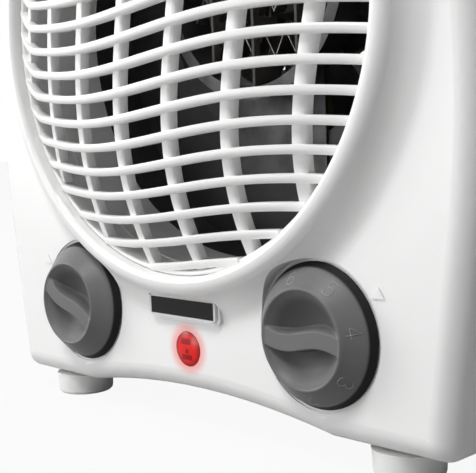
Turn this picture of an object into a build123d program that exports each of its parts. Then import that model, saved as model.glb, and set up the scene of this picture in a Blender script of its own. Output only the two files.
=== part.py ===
from build123d import *
from math import cos, pi, radians, sin, sqrt, tan
import os

os.makedirs("parts", exist_ok=True)

# Upright fan heater. X runs across, Y from the outlet to the back, Z up.
# The origin is on the floor, under the middle of the whole body. Millimetres.

# Body
body_width = 200.0
body_top_z = 238.0
body_depth = 97.0
foot_height = 7.0
widest_z = 97.0
side_arc_r = 265.0
side_arc_low_z = 63.0
side_arc_high_z = 150.0
shoulder_z = 229.0
shoulder_r = 40.0
base_corner_r = 5.0
arch_half_width = 52.0
arch_rise = 4.7
front_length = 47.5
front_draft = 1.2
rear_draft = 2.5
face_corner_r = 6.5
rear_corner_r = 15.0
wall = 2.2

# Outlet collar and grille
outlet_z = 123.0
outlet_r = 75.0
collar_rise = 7.5
collar_edge_r = 1.6
collar_nose_r = 4.5
collar_flank_angle = 55.0
collar_blend_r = 11.0
neck_r = 73.0
neck_depth = 34.0
grille_seat_depth = 14.0
dome_rise = 17.4
dome_edge_depth = 3.3
bar_count = 20
bar_pitch = 7.15
bar_height = 2.5
bar_depth = 3.4
bars_drop = 1.75
wave_height = 2.6
wave_length = 150.0
wave_start_x = 17.5
rib_count = 7
rib_pitch = 18.75
rib_width = 2.6
rib_setback = 1.6
rib_depth = 5.5
skirt_wall = 1.6
fit_gap = 0.2

# Controls on the front
knob_x = 50.9
knob_z = 35.6
knob_base_r = 19.5
knob_face_r = 18.1
knob_side_rise = 2.6
knob_lip_r = 12.9
knob_lip_width = 1.6
knob_bowl_depth = 4.4
knob_grip_width = 4.8
knob_grip_wave = 1.1
grip_flare = 1.15
knob_floor_gap = 0.3
knob_skin = 1.3
knob_hub_r = 5.0
knob_hub_wall = 1.5
knob_rim_wall = 1.4
knob_hole_gap = 0.6
pocket_gap = 0.9
pocket_depth = 0.5
pocket_floor = 2.0
mode_grip_angle = -28.0
thermostat_grip_angle = 0.0
spindle_r = 3.0
spindle_flat = 1.0
spindle_seat = 3.6
spindle_depth = 12.0
switch_r = 13.5
switch_depth = 16.0
terminal_tab_width = 4.8
terminal_tab_thickness = 0.8
terminal_tab_length = 7.0
thermostat_plate_width = 30.0
thermostat_plate_height = 18.0
thermostat_plate_thickness = 1.4
thermostat_block_width = 22.0
thermostat_block_height = 15.0
thermostat_block_depth = 13.0
blade_arm_length = 24.0
blade_arm_width = 6.0
blade_arm_thickness = 0.8
running_gap = 0.05
index_x = 70.7
index_z = 48.0
index_width = 3.7
index_side = 3.4
index_rise = 0.4
control_screw_x = 10.5

# Pilot lamp and badge place
pilot_z = 25.6
pilot_r = 5.1
pilot_proud = 0.8
pilot_length = 14.0
pilot_flange_r = 7.0
pilot_flange = 1.5
lamp_r = 2.4
lamp_length = 9.0
badge_z = 38.3
badge_width = 29.0
badge_height = 6.5
badge_thickness = 0.9
badge_back = 6.3
badge_rim = 0.9

# Air duct
unit_rise = 14.0
duct_wall = 1.5
duct_flange = 2.0
duct_flange_r = 80.0
duct_bore_r = 74.0
duct_chamber_depth = 16.0
shroud_r = 52.0
shroud_length = 22.5
spider_ring_r = 27.0
spider_bore_r = 10.0
spider_thickness = 3.0
spider_arm_width = 7.0
tab_r = 5.5
duct_screw_circle_r = 84.0

# Heating element
element_r = 34.0
element_wall = 1.0
element_depth = 14.0
element_rim = 3.0
element_leg_width = 38.0
element_leg_drop = 62.0
element_top_leg = 56.0
element_leg_thickness = 1.0
mica_thickness = 1.0
mica_pitch = 18.0
mica_depth = 11.0
mica_gap = 0.3
ribbon_rows = 4
ribbon_row_pitch = 14.0
ribbon_fold_pitch = 4.4
ribbon_fold_height = 8.0
ribbon_width = 5.0
ribbon_thickness = 0.5
ribbon_end_gap = 3.0
cutout_r = 7.5
cutout_thickness = 5.0
fuse_r = 1.6
fuse_length = 12.0

# Fan
fan_gap = 2.5
fan_blades = 7
fan_hub_r = 12.0
fan_hub_depth = 14.0
fan_hub_wall = 2.0
fan_hub_core_r = 4.5
fan_setback = 2.5
fan_root_angle = 50.0
fan_tip_angle = 24.0
fan_root_chord = 16.0
fan_tip_chord = 26.0
blade_thickness = 1.4
clip_r = 4.0
clip_thickness = 0.8

# Motor
shaft_r = 2.0
shaft_front_reach = 1.2
shaft_rear_reach = 1.5
rotor_r = 13.6
air_gap = 0.4
stator_width = 50.0
stator_top = 22.0
stator_web = 4.0
stator_thickness = 12.0
window_width = 30.0
window_height = 13.0
coil_bar_height = 12.0
coil_wrap = 5.0
coil_length = 20.0
bobbin_flange = 1.5
bobbin_wall = 1.0
bracket_height = 13.0
bracket_thickness = 1.6
bracket_standoff = 4.0
standoff_r = 3.6
bearing_r = 5.0
bearing_length = 6.0
shaft_gap = 0.04
motor_screw_x = 19.0

# Fasteners
screw_r = 1.6
screw_gap = 0.1
screw_head_r = 3.0
screw_head_height = 1.8
boss_r = 4.6
boss_floor = 5.0
shell_screw_length = 16.0
duct_screw_length = 12.0
control_screw_length = 8.0
clamp_screw_length = 9.0
shell_screw_places = [(-76.0, 62.0), (76.0, 62.0), (-62.0, 203.0), (62.0, 203.0)]

# Back of the body
intake_r = 54.0
intake_slot = 3.8
intake_pitch = 7.2
intake_rib_x = 19.0
intake_rib_width = 3.0
handle_z = 208.0
handle_width = 84.0
handle_height = 24.0
handle_depth = 24.0
handle_corner_r = 8.0
handle_lip = 7.0
handle_undercut = 6.0

# Raised panels on the sides
panel_low_z = 17.0
panel_high_z = 186.0
panel_rise = 1.0
panel_front_inset = 16.4
panel_lean = 14.0
panel_rear_inset = 22.0
panel_corner_r = 3.0

# Feet
foot_r = 11.5
foot_x = 70.0
foot_front_inset = 12.5
foot_rear_inset = 28.5
foot_edge_r = 1.2
foot_stem_r = 2.6
foot_stem_length = 4.0

# Mains inlet
gland_x = -50.0
gland_z = 34.0
gland_r = 6.0
gland_bore_r = 3.6
gland_lip_r = 8.0
gland_lip = 1.5
clamp_post_x = 8.0
clamp_post_r = 3.4
clamp_inset = 20.0
clamp_height = 3.0
clamp_half_depth = 4.0
terminal_x = 34.0
terminal_inset = 34.0
terminal_width = 30.0
terminal_depth = 17.0
terminal_height = 12.0
terminal_seat_z = 20.0
terminal_screw_r = 2.0
terminal_screw_pitch = 9.0

# Places along Y, from the front of the grille to the back wall
overall_depth = dome_rise + collar_rise + body_depth
collar_y = dome_rise - overall_depth / 2
face_y = collar_y + collar_rise
part_y = face_y + front_length
rear_y = face_y + body_depth
seat_y = collar_y + grille_seat_depth
neck_end_y = collar_y + neck_depth
pocket_y = face_y + pocket_depth
control_y = pocket_y + pocket_floor
chamber_y = neck_end_y + duct_flange
back_plate_y = chamber_y + duct_chamber_depth
shroud_end_y = back_plate_y + duct_wall + shroud_length
fan_y = back_plate_y + duct_wall + fan_setback
stator_y = shroud_end_y + bracket_thickness + bracket_standoff
rear_bracket_y = stator_y + stator_thickness + bracket_standoff

# Sizes that follow from the driving ones
half_width = body_width / 2
base_z = foot_height
unit_z = outlet_z + unit_rise
pocket_r = knob_base_r + pocket_gap
neck_outer_r = outlet_r + wall
grille_r = outlet_r - fit_gap
fan_r = shroud_r - fan_gap
bore_r = rotor_r + air_gap
window_top = -bore_r - stator_web
bar_top = window_top - window_height
coil_z = unit_z + bar_top - coil_bar_height / 2
dome_height = dome_rise + dome_edge_depth
dome_r = (outlet_r**2 + dome_height**2) / (2 * dome_height)


def front_plane(y):
    """Sketch plane seen from the front: X across, Z up, at depth y."""
    return Plane(origin=(0, y, 0), x_dir=(1, 0, 0), z_dir=(0, -1, 0))


def turning_plane(x, z):
    """Half section for a turned piece: radius first, depth second."""
    return Plane(origin=(x, 0, z), x_dir=(0, 0, 1), z_dir=(-1, 0, 0))


def turning_axis(x, z):
    """Axis from front to back through (x, z)."""
    return Axis((x, 0, z), (0, 1, 0))


def side_x(z):
    """Half the body's width on the bulging stretch of its side."""
    return half_width - side_arc_r + sqrt(side_arc_r**2 - (z - widest_z) ** 2)


def side_slope(z):
    """How fast the half width falls per millimetre away from the widest place."""
    return abs(z - widest_z) / sqrt(side_arc_r**2 - (z - widest_z) ** 2)


def body_section(inset=0.0):
    """Body seen from the front: arched foot, bulging sides, domed top."""
    base_x = side_x(side_arc_low_z) - side_slope(side_arc_low_z) * (side_arc_low_z - base_z)
    shoulder_x = side_x(side_arc_high_z) - side_slope(side_arc_high_z) * (shoulder_z - side_arc_high_z)
    with BuildSketch() as section:
        with BuildLine():
            ThreePointArc((-arch_half_width, base_z), (0, base_z + arch_rise), (arch_half_width, base_z))
            for side in (-1, 1):
                Line((side * arch_half_width, base_z), (side * base_x, base_z))
                Line((side * base_x, base_z), (side * side_x(side_arc_low_z), side_arc_low_z))
                ThreePointArc(
                    (side * side_x(side_arc_low_z), side_arc_low_z),
                    (side * half_width, widest_z),
                    (side * side_x(side_arc_high_z), side_arc_high_z),
                )
                Line((side * side_x(side_arc_high_z), side_arc_high_z), (side * shoulder_x, shoulder_z))
            ThreePointArc((-shoulder_x, shoulder_z), (0, body_top_z), (shoulder_x, shoulder_z))
        make_face()
        feet = [v for v in section.vertices() if abs(v.Y - base_z) < 0.01 and abs(v.X) > base_x - 1]
        fillet(feet, base_corner_r)
        shoulders = [v for v in section.vertices() if abs(v.Y - shoulder_z) < 0.01]
        fillet(shoulders, shoulder_r)
        if inset:
            offset(amount=-inset, kind=Kind.INTERSECTION)
    return section.sketch


# Blanks of the two casings, outside and inside
with BuildPart() as front_outer:
    with BuildSketch(front_plane(part_y)):
        add(body_section())
    extrude(amount=front_length, taper=front_draft)
    fillet(front_outer.faces().sort_by(Axis.Y)[0].edges(), face_corner_r)

with BuildPart() as front_inner:
    with BuildSketch(front_plane(part_y)):
        add(body_section(wall))
    extrude(amount=front_length - wall, taper=front_draft)
    fillet(front_inner.faces().sort_by(Axis.Y)[0].edges(), face_corner_r - wall)

with BuildPart() as rear_outer:
    with BuildSketch(front_plane(part_y)):
        add(body_section())
    extrude(amount=-(rear_y - part_y), taper=rear_draft)
    fillet(rear_outer.faces().sort_by(Axis.Y)[-1].edges(), rear_corner_r)

with BuildPart() as rear_inner:
    with BuildSketch(front_plane(part_y)):
        add(body_section(wall))
    extrude(amount=-(rear_y - part_y - wall), taper=rear_draft)
    fillet(rear_inner.faces().sort_by(Axis.Y)[-1].edges(), rear_corner_r - wall)


def turned(name, x, z, points):
    """Solid of revolution about an axis from front to back, from (radius, depth) points."""
    with BuildPart() as piece:
        with BuildSketch(turning_plane(x, z)):
            with BuildLine():
                Polyline(*points, close=True)
            make_face()
        revolve(axis=turning_axis(x, z))
    piece.part.label = name
    return piece.part


def rod(x, z, radius, y_front, y_back):
    """Plain round rod from y_front to y_back."""
    return turned("rod", x, z, [(0, y_front), (radius, y_front), (radius, y_back), (0, y_back)])


def tube(name, x, z, inner, outer, y_front, y_back):
    """Plain tube from y_front to y_back."""
    return turned(name, x, z, [(inner, y_front), (outer, y_front), (outer, y_back), (inner, y_back)])


def save(piece, name):
    """Label a finished piece and write it."""
    piece.label = name
    export_step(piece, f"parts/{name}.step")


# Collar: rounded nose, steep flank and a wide blend into the flat face.
flank = radians(collar_flank_angle)
nose_centre = (outlet_r + collar_edge_r, collar_y + collar_nose_r)
nose_end = (nose_centre[0] + collar_nose_r * sin(flank), nose_centre[1] - collar_nose_r * cos(flank))
flank_fall = face_y - collar_blend_r * (1 - cos(flank)) - nose_end[1]
blend_start = (nose_end[0] + flank_fall / tan(flank), nose_end[1] + flank_fall)
collar_outer_r = blend_start[0] + collar_blend_r * sin(flank)
blend_centre_y = face_y - collar_blend_r


def blend_point(radius, angle):
    """Point on an arc about the centre of the collar's outer blend."""
    return (collar_outer_r - radius * sin(angle), blend_centre_y + radius * cos(angle))


with BuildPart() as collar_plug:
    with BuildSketch(turning_plane(0, outlet_z)):
        with BuildLine():
            Line((0, collar_y + collar_edge_r), (outlet_r, collar_y + collar_edge_r))
            RadiusArc((outlet_r, collar_y + collar_edge_r), (nose_centre[0], collar_y), -collar_edge_r)
            nose_middle = (
                nose_centre[0] + collar_nose_r * sin(flank / 2),
                nose_centre[1] - collar_nose_r * cos(flank / 2),
            )
            ThreePointArc((nose_centre[0], collar_y), nose_middle, nose_end)
            Line(nose_end, blend_start)
            ThreePointArc(blend_start, blend_point(collar_blend_r, flank / 2), (collar_outer_r, face_y))
            Polyline((collar_outer_r, face_y), (collar_outer_r, face_y + wall), (0, face_y + wall))
            Line((0, face_y + wall), (0, collar_y + collar_edge_r))
        make_face()
    revolve(axis=turning_axis(0, outlet_z))

inner_blend_r = collar_blend_r + wall
inner_nose_r = collar_nose_r - wall
inner_nose_end = (nose_centre[0] + inner_nose_r * sin(flank), nose_centre[1] - inner_nose_r * cos(flank))
with BuildPart() as collar_hollow:
    with BuildSketch(turning_plane(0, outlet_z)):
        with BuildLine():
            Line((0, inner_nose_end[1]), inner_nose_end)
            Line(inner_nose_end, blend_point(inner_blend_r, flank))
            ThreePointArc(
                blend_point(inner_blend_r, flank),
                blend_point(inner_blend_r, flank / 2),
                (collar_outer_r, face_y + wall),
            )
            Polyline((collar_outer_r, face_y + wall), (collar_outer_r, face_y + 2 * wall), (0, face_y + 2 * wall))
            Line((0, face_y + 2 * wall), (0, inner_nose_end[1]))
        make_face()
    revolve(axis=turning_axis(0, outlet_z))


# Raised panel on both sides, running across the joint between the casings
panel_top_shift = tan(radians(panel_lean)) * (panel_high_z - panel_low_z)
panel_front_y = collar_y + panel_front_inset
panel_rear_y = rear_y - panel_rear_inset
with BuildPart() as panel_prism:
    with BuildSketch(Plane.YZ) as panel_shape:
        with BuildLine():
            Polyline(
                (panel_front_y, panel_low_z),
                (panel_rear_y, panel_low_z),
                (panel_rear_y, panel_high_z),
                (panel_front_y + panel_top_shift, panel_high_z),
                close=True,
            )
        make_face()
        fillet(panel_shape.vertices(), panel_corner_r)
    extrude(amount=body_width, both=True)
    with BuildSketch(front_plane(part_y)):
        Rectangle(2 * foot_x, 4 * body_top_z)
    extrude(amount=body_depth, both=True, mode=Mode.SUBTRACT)

with BuildPart() as front_panels:
    with BuildSketch(front_plane(part_y)):
        add(body_section(-panel_rise))
    extrude(amount=front_length - face_corner_r, taper=front_draft)
    add(panel_prism.part, mode=Mode.INTERSECT)

with BuildPart() as rear_panels:
    with BuildSketch(front_plane(part_y)):
        add(body_section(-panel_rise))
    extrude(amount=-(rear_y - part_y - rear_corner_r), taper=rear_draft)
    add(panel_prism.part, mode=Mode.INTERSECT)

# Places of the screws that clamp the duct flange against the neck
tab_places = []
for turn in (45, 135, 225, 315):
    tab_x = duct_screw_circle_r * cos(radians(turn))
    tab_places.append((tab_x, outlet_z + duct_screw_circle_r * sin(radians(turn))))

foot_front_y = face_y + foot_front_inset
foot_rear_y = rear_y - foot_rear_inset
foot_places = [(x, y) for y in (foot_front_y, foot_rear_y) for x in (-foot_x, foot_x)]
stem_hole_r = foot_stem_r + fit_gap / 2

screw_end_y = pocket_y + control_screw_length


def control_screw(x, gap):
    """Countersunk screw through a knob pocket's floor, or with a gap the hole for it."""
    head = screw_head_r + gap
    shank = screw_r + gap
    points = [(0, pocket_y), (head, pocket_y), (shank, pocket_y + head - shank)]
    points += [(shank, screw_end_y + gap), (0, screw_end_y + gap)]
    return turned("control_screw", x, knob_z, points)


# Front casing: what is hollow, then the skin around it
with BuildPart() as front_space:
    add(front_inner.part)
    add(collar_hollow.part)
    add(rod(0, outlet_z, neck_outer_r, collar_y, neck_end_y), mode=Mode.SUBTRACT)
    for x in (-knob_x, knob_x):
        add(rod(x, knob_z, pocket_r + wall, collar_y, control_y), mode=Mode.SUBTRACT)
    for x, z in tab_places:
        add(rod(x, z, boss_r, collar_y, neck_end_y), mode=Mode.SUBTRACT)
    for x, z in shell_screw_places:
        add(rod(x, z, boss_r, collar_y, part_y), mode=Mode.SUBTRACT)

badge_y = collar_y + badge_back
badge_slot = badge_height + 2 * fit_gap
with BuildPart() as front_shell:
    add(front_outer.part)
    add(collar_plug.part)
    with BuildSketch(front_plane(badge_y)):
        with Locations((0, badge_z)):
            RectangleRounded(badge_width + 2 * badge_rim, badge_height + 2 * badge_rim, badge_height / 3)
    extrude(amount=-(face_y + wall - badge_y))
    add(front_panels.part)
    add(front_space.part, mode=Mode.SUBTRACT)
    for side in (-1, 1):
        with BuildSketch(front_plane(face_y)):
            with Locations((side * index_x, index_z)):
                Triangle(a=index_width, b=index_side, c=index_side)
        extrude(amount=index_rise)
    with BuildSketch(front_plane(badge_y)):
        with Locations((0, badge_z)):
            RectangleRounded(badge_width + 2 * fit_gap, badge_slot, badge_height / 4)
    extrude(amount=collar_rise, mode=Mode.SUBTRACT)
    add(rod(0, outlet_z, outlet_r, collar_y - 1, seat_y), mode=Mode.SUBTRACT)
    add(rod(0, outlet_z, neck_r, seat_y, neck_end_y), mode=Mode.SUBTRACT)
    for x in (-knob_x, knob_x):
        add(rod(x, knob_z, pocket_r, collar_y - 1, pocket_y), mode=Mode.SUBTRACT)
        add(rod(x, knob_z, knob_hub_r + knob_hole_gap, pocket_y, control_y), mode=Mode.SUBTRACT)
        for side in (-1, 1):
            screw_x = x + side * control_screw_x
            add(control_screw(screw_x, screw_gap), mode=Mode.SUBTRACT)
    add(rod(0, pilot_z, pilot_r + fit_gap, collar_y, face_y + wall), mode=Mode.SUBTRACT)
    for x, z in tab_places:
        add(rod(x, z, screw_r + screw_gap, neck_end_y - duct_screw_length, neck_end_y), mode=Mode.SUBTRACT)
    for x, z in shell_screw_places:
        add(rod(x, z, screw_r + screw_gap, part_y - shell_screw_length, part_y), mode=Mode.SUBTRACT)
    for x, y in foot_places[:2]:
        with Locations((x, y, base_z + wall / 2)):
            Cylinder(stem_hole_r, 2 * wall, mode=Mode.SUBTRACT)
save(front_shell.part, "front_shell")

# Grille: wavy bars following a dome, with upright ribs behind them and a skirt in the neck
dome_centre = (0, collar_y - dome_rise + dome_r, outlet_z)
skirt_r = grille_r - skirt_wall


def dome_layer(setback, depth):
    """Layer of the dome, from setback behind its front and depth thick."""
    with BuildPart() as layer:
        with Locations(dome_centre):
            Sphere(dome_r - setback)
            Sphere(dome_r - setback - depth, mode=Mode.SUBTRACT)
        add(rod(0, outlet_z, grille_r - skirt_wall / 2, collar_y - 2 * dome_rise, seat_y), mode=Mode.INTERSECT)
    return layer.part


def wave_z(x):
    """Height of the wave in a bar at x."""
    return wave_height * sin(2 * pi * (x - wave_start_x) / wave_length)


wave_reach = outlet_r + bar_height
wave_back_x = wave_start_x - wave_length / 2
wave_places = [-wave_reach, (wave_back_x - wave_reach) / 2, wave_back_x]
wave_places += [(wave_back_x + wave_start_x) / 2, wave_start_x, (wave_start_x + wave_reach) / 2, wave_reach]
with BuildPart() as grille_bars:
    for bar in range(bar_count):
        bar_z = outlet_z - bars_drop + (bar - (bar_count - 1) / 2) * bar_pitch
        low = bar_z - bar_height / 2
        high = bar_z + bar_height / 2
        with BuildSketch(front_plane(collar_y - dome_rise)):
            with BuildLine():
                for height in (low, high):
                    points = [(x, height + wave_z(x)) for x in wave_places]
                    for start in (0, 2, 4):
                        ThreePointArc(points[start], points[start + 1], points[start + 2])
                for x in (wave_places[0], wave_places[-1]):
                    Line((x, low + wave_z(x)), (x, high + wave_z(x)))
            make_face()
        extrude(amount=-(dome_height + 2 * bar_depth))
    add(dome_layer(0, bar_depth), mode=Mode.INTERSECT)

with BuildPart() as grille_ribs:
    with BuildSketch(front_plane(collar_y - dome_rise)):
        with Locations((0, outlet_z)):
            with GridLocations(rib_pitch, 1, rib_count, 1):
                Rectangle(rib_width, 2 * outlet_r)
    extrude(amount=-(dome_height + rib_setback + 2 * rib_depth))
    add(dome_layer(rib_setback, rib_depth), mode=Mode.INTERSECT)

with BuildPart() as front_grille:
    add(tube("skirt", 0, outlet_z, skirt_r, grille_r, collar_y + collar_edge_r, seat_y))
    add(grille_bars.part)
    add(grille_ribs.part)
save(front_grille.part, "front_grille")

# Rear casing with its air intake and the grip moulded into the back
grip_box_height = handle_height + handle_undercut + 2 * wall
with BuildPart() as rear_space:
    add(rear_inner.part)
    with BuildSketch(front_plane(rear_y)):
        with Locations((0, handle_z + handle_undercut / 2)):
            RectangleRounded(handle_width + 2 * wall, grip_box_height, handle_corner_r)
    extrude(amount=handle_depth + wall, mode=Mode.SUBTRACT)
    for x, z in shell_screw_places:
        add(rod(x, z, boss_r, part_y, rear_y), mode=Mode.SUBTRACT)
    for side in (-1, 1):
        with Locations((gland_x + side * clamp_post_x, rear_y - clamp_inset, gland_z / 2)):
            Cylinder(clamp_post_r, gland_z, mode=Mode.SUBTRACT)
        post_x = terminal_x + side * terminal_width / 3
        with Locations((post_x, rear_y - terminal_inset, terminal_seat_z / 2)):
            Cylinder(clamp_post_r, terminal_seat_z, mode=Mode.SUBTRACT)

with BuildPart() as rear_shell:
    add(rear_outer.part)
    add(rear_panels.part)
    add(rear_space.part, mode=Mode.SUBTRACT)
    with BuildSketch(front_plane(rear_y)):
        with Locations((0, handle_z)):
            RectangleRounded(handle_width, handle_height, handle_corner_r)
    extrude(amount=handle_depth, mode=Mode.SUBTRACT)
    with BuildSketch(front_plane(rear_y - handle_lip)):
        with Locations((0, handle_z + handle_undercut / 2)):
            RectangleRounded(handle_width, handle_height + handle_undercut, handle_corner_r)
    extrude(amount=handle_depth - handle_lip, mode=Mode.SUBTRACT)
    with BuildSketch(front_plane(rear_y)):
        with Locations((0, unit_z)):
            with GridLocations(1, intake_pitch, 1, int(2 * intake_r / intake_pitch)):
                Rectangle(2 * intake_r, intake_slot)
            Circle(intake_r, mode=Mode.INTERSECT)
            with GridLocations(2 * intake_rib_x, 1, 2, 1):
                Rectangle(intake_rib_width, 2 * intake_r, mode=Mode.SUBTRACT)
    extrude(amount=2 * wall, mode=Mode.SUBTRACT)
    for x, z in shell_screw_places:
        add(rod(x, z, screw_r + screw_gap, part_y, part_y + boss_floor), mode=Mode.SUBTRACT)
        add(rod(x, z, screw_head_r + 2 * screw_gap, part_y + boss_floor, rear_y), mode=Mode.SUBTRACT)
    add(rod(gland_x, gland_z, gland_r + fit_gap, rear_y - 2 * wall, rear_y), mode=Mode.SUBTRACT)
    for side in (-1, 1):
        with Locations((gland_x + side * clamp_post_x, rear_y - clamp_inset, gland_z - clamp_screw_length / 2)):
            Cylinder(screw_r + screw_gap, clamp_screw_length, mode=Mode.SUBTRACT)
    for x, y in foot_places[2:]:
        with Locations((x, y, base_z + wall / 2)):
            Cylinder(stem_hole_r, 2 * wall, mode=Mode.SUBTRACT)
save(rear_shell.part, "rear_shell")

# Round pads under the body, each with a stem pushed through the casing's floor
foot_names = ["foot_front_left", "foot_front_right", "foot_rear_left", "foot_rear_right"]
for name, (x, y) in zip(foot_names, foot_places):
    with BuildPart() as foot:
        with Locations((x, y, foot_height / 2)):
            Cylinder(foot_r, foot_height)
        fillet(foot.edges().sort_by(Axis.Z)[0], foot_edge_r)
        with Locations((x, y, foot_height + foot_stem_length / 2)):
            Cylinder(foot_stem_r, foot_stem_length)
    save(foot.part, name)

# Knobs: coned band, rounded lip, dished bowl and a wavy finger grip across it
knob_base_y = pocket_y - knob_floor_gap
knob_rim_y = knob_base_y - knob_side_rise
lip_y = collar_y
lip_half = knob_lip_width / 2
bowl_mouth_r = knob_lip_r - lip_half
bowl_y = lip_y + knob_bowl_depth
hub_end_y = control_y - fit_gap
flat_z = spindle_r - spindle_flat


def bowl_arc_y(radius):
    """Depth of the dished bowl at a radius."""
    rise = knob_bowl_depth - lip_half
    sphere = (bowl_mouth_r**2 + rise**2) / (2 * rise)
    return bowl_y - sphere + sqrt(sphere**2 - radius**2)


def make_knob(name, x, grip_angle):
    """One control knob on the spindle at x, its grip turned by grip_angle."""
    with BuildPart() as knob:
        with BuildSketch(turning_plane(x, knob_z)):
            with BuildLine():
                Polyline((0, bowl_y), (0, knob_base_y), (knob_base_r, knob_base_y), (knob_face_r, knob_rim_y))
                Line((knob_face_r, knob_rim_y), (knob_lip_r + lip_half, lip_y + lip_half))
                ThreePointArc(
                    (knob_lip_r + lip_half, lip_y + lip_half),
                    (knob_lip_r, lip_y),
                    (bowl_mouth_r, lip_y + lip_half),
                )
                middle_r = bowl_mouth_r / 2
                ThreePointArc((bowl_mouth_r, lip_y + lip_half), (middle_r, bowl_arc_y(middle_r)), (0, bowl_y))
            make_face()
        revolve(axis=turning_axis(x, knob_z))
        rim_inner_r = knob_face_r - knob_rim_wall
        under_y = bowl_y + knob_skin
        hub_wall_r = knob_hub_r + knob_hub_wall
        add(tube("underside", x, knob_z, hub_wall_r, rim_inner_r, under_y, knob_base_y), mode=Mode.SUBTRACT)
        add(rod(x, knob_z, knob_hub_r, bowl_y, hub_end_y))
        with BuildSketch(front_plane(under_y)) as grip:
            with BuildLine():
                for offset_z in (-knob_grip_width / 2, knob_grip_width / 2):
                    half = knob_lip_r / 2
                    crest = knob_grip_wave
                    ends = offset_z * grip_flare
                    ThreePointArc((-knob_lip_r, ends), (-half, offset_z - crest), (0, offset_z))
                    ThreePointArc((0, offset_z), (half, offset_z + crest), (knob_lip_r, ends))
                for side in (-knob_lip_r, knob_lip_r):
                    Line((side, -knob_grip_width / 2 * grip_flare), (side, knob_grip_width / 2 * grip_flare))
            make_face()
        grip_solid = extrude(amount=under_y - lip_y - fit_gap, mode=Mode.PRIVATE)
        grip_turned = grip_solid.rotate(Axis((0, 0, 0), (0, -1, 0)), grip_angle)
        add(grip_turned.moved(Location((x, 0, knob_z))))
        add(d_rod(x, spindle_r + running_gap / 2, hub_end_y - spindle_seat, hub_end_y), mode=Mode.SUBTRACT)
    save(knob.part, name)


def d_rod(x, radius, y_front, y_back):
    """Rod with one flat, as a knob's spindle and its bore have."""
    with BuildPart() as piece:
        add(rod(x, knob_z, radius, y_front, y_back))
        with BuildSketch(front_plane(y_front)):
            with Locations((x, knob_z + flat_z + radius)):
                Rectangle(2 * spindle_r + 1, 2 * radius)
        extrude(amount=-(y_back - y_front), mode=Mode.SUBTRACT)
    return piece.part


make_knob("mode_knob", -knob_x, mode_grip_angle)
make_knob("thermostat_knob", knob_x, thermostat_grip_angle)

# Switch and thermostat behind the face, with the turning spindles that the knobs sit on
for name, x in (("mode_spindle", -knob_x), ("thermostat_spindle", knob_x)):
    with BuildPart() as spindle:
        add(d_rod(x, spindle_r, hub_end_y - spindle_seat + running_gap, hub_end_y))
        add(rod(x, knob_z, spindle_r, hub_end_y, control_y + spindle_depth))
    save(spindle.part, name)

bore_y = control_y + spindle_depth + fit_gap
with BuildPart() as mode_switch:
    add(rod(-knob_x, knob_z, switch_r, control_y, control_y + switch_depth))
    add(rod(-knob_x, knob_z, spindle_r + running_gap, control_y, bore_y), mode=Mode.SUBTRACT)
    for side in (-1, 1):
        screw_x = side * control_screw_x - knob_x
        add(rod(screw_x, knob_z, screw_r, control_y, screw_end_y + fit_gap), mode=Mode.SUBTRACT)
save(mode_switch.part, "mode_switch")

block_y = control_y + thermostat_plate_thickness
with BuildPart() as thermostat_plate:
    with BuildSketch(front_plane(control_y)):
        with Locations((knob_x, knob_z)):
            RectangleRounded(thermostat_plate_width, thermostat_plate_height, 2)
            Circle(spindle_r + running_gap, mode=Mode.SUBTRACT)
            with GridLocations(2 * control_screw_x, 1, 2, 1):
                Circle(screw_r, mode=Mode.SUBTRACT)
    extrude(amount=-thermostat_plate_thickness)
save(thermostat_plate.part, "thermostat_plate")

with BuildPart() as thermostat_block:
    with BuildSketch(front_plane(block_y)):
        with Locations((knob_x, knob_z)):
            Rectangle(thermostat_block_width, thermostat_block_height)
            Circle(spindle_r + running_gap, mode=Mode.SUBTRACT)
            with GridLocations(2 * control_screw_x, 1, 2, 1):
                Circle(screw_r + screw_gap, mode=Mode.SUBTRACT)
    extrude(amount=-thermostat_block_depth)
save(thermostat_block.part, "thermostat_block")

block_end_y = block_y + thermostat_block_depth
with BuildPart() as bimetal_blade:
    with BuildSketch(front_plane(block_end_y)):
        with Locations((knob_x, knob_z + thermostat_block_height / 4)):
            SlotOverall(blade_arm_length, blade_arm_width)
    extrude(amount=-blade_arm_thickness)
save(bimetal_blade.part, "bimetal_blade")

tab_back_y = {-knob_x: control_y + switch_depth, knob_x: block_end_y}
for name, x in (("switch_terminals", -knob_x), ("thermostat_terminals", knob_x)):
    with BuildPart() as terminals:
        with BuildSketch(front_plane(tab_back_y[x])):
            with Locations((x, knob_z - thermostat_block_height / 4)):
                with GridLocations(2 * terminal_tab_width, 1, 2, 1):
                    Rectangle(terminal_tab_thickness, terminal_tab_width)
        extrude(amount=-terminal_tab_length)
    save(terminals.part, name)

with BuildPart() as control_screws:
    for x in (-knob_x, knob_x):
        for side in (-1, 1):
            add(control_screw(x + side * control_screw_x, 0))
save(control_screws.part, "control_screws")

# Pilot lens with its flange behind the face, and the lamp inside it
flange_y = face_y + wall
lens_end_y = flange_y + pilot_length
lens_core_r = lamp_r + 2 * fit_gap
with BuildPart() as pilot_lens:
    with BuildSketch(turning_plane(0, pilot_z)):
        with BuildLine():
            ThreePointArc(
                (0, face_y - pilot_proud),
                (pilot_r / 2, face_y - pilot_proud * 3 / 4),
                (pilot_r, face_y),
            )
            Polyline(
                (pilot_r, face_y),
                (pilot_r, flange_y),
                (pilot_flange_r, flange_y),
                (pilot_flange_r, flange_y + pilot_flange),
                (pilot_r - 1, flange_y + pilot_flange),
                (pilot_r - 1, lens_end_y),
                (lens_core_r, lens_end_y),
                (lens_core_r, flange_y),
                (0, flange_y),
                (0, face_y - pilot_proud),
            )
        make_face()
    revolve(axis=turning_axis(0, pilot_z))
save(pilot_lens.part, "pilot_lens")
save(rod(0, pilot_z, lamp_r, flange_y + fit_gap, flange_y + fit_gap + lamp_length), "pilot_lamp")

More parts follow.
